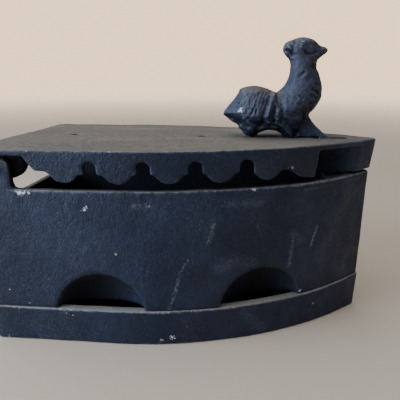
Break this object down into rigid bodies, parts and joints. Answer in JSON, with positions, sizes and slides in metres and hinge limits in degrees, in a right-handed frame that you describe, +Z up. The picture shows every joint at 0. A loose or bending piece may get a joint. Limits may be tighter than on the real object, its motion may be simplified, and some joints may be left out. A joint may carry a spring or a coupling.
{
  "type": "charcoal box iron",
  "caption": "Boat-shaped cast-iron charcoal iron with hooded draft holes, a hinged lid with a scalloped skirt, and a rooster-shaped lid latch; its handle is absent.",
  "frame": {"origin": "on the ground plane under the middle of the iron's length and width", "axes": "+X towards the pointed tip, +Y towards the iron's left side, +Z up"},
  "size_m": [0.215, 0.1156, 0.1631],
  "materials": {
    "shell_paint": "matte blue-black stove paint over cast iron",
    "lid_paint": "matte blue-black stove paint, dusty grey on top",
    "sole_paint": "matte blue-black stove paint over cast iron, ground flat underneath",
    "grate_iron": "bare scorched cast iron, dull brown-black",
    "rooster_paint": "satin blue-black stove paint over a cast figure",
    "pin_steel": "dark painted steel rod",
    "screw_steel": "dull oxidised steel"
  },
  "bodies": {
    "body": {"sole_plate": "sole_paint", "body_shell": "shell_paint", "hinge_pin": "pin_steel", "sole_screw_rear_right": "screw_steel", "sole_screw_rear_left": "screw_steel", "sole_screw_middle_right": "screw_steel", "sole_screw_middle_left": "screw_steel"},
    "grate": {"fire_grate": "grate_iron"},
    "lid": {"lid": "lid_paint", "latch_pin": "pin_steel"},
    "latch": {"rooster_latch": "rooster_paint"}
  },
  "joints": [
    {"name": "lid_hinge", "type": "hinge", "parent": "body", "child": "lid", "pos_m": [-0.0945, 0, 0.098], "axis": [0, -1, 0], "range_deg": [0, 100]},
    {"name": "latch_tilt", "type": "hinge", "parent": "lid", "child": "latch", "pos_m": [0.0815, 0, 0.0985], "axis": [0, 1, 0], "range_deg": [0, 35]},
    {"name": "grate_lift", "type": "slide", "parent": "body", "child": "grate", "axis": [0, 0, 1], "range_m": [0, 0.028]}
  ]
}
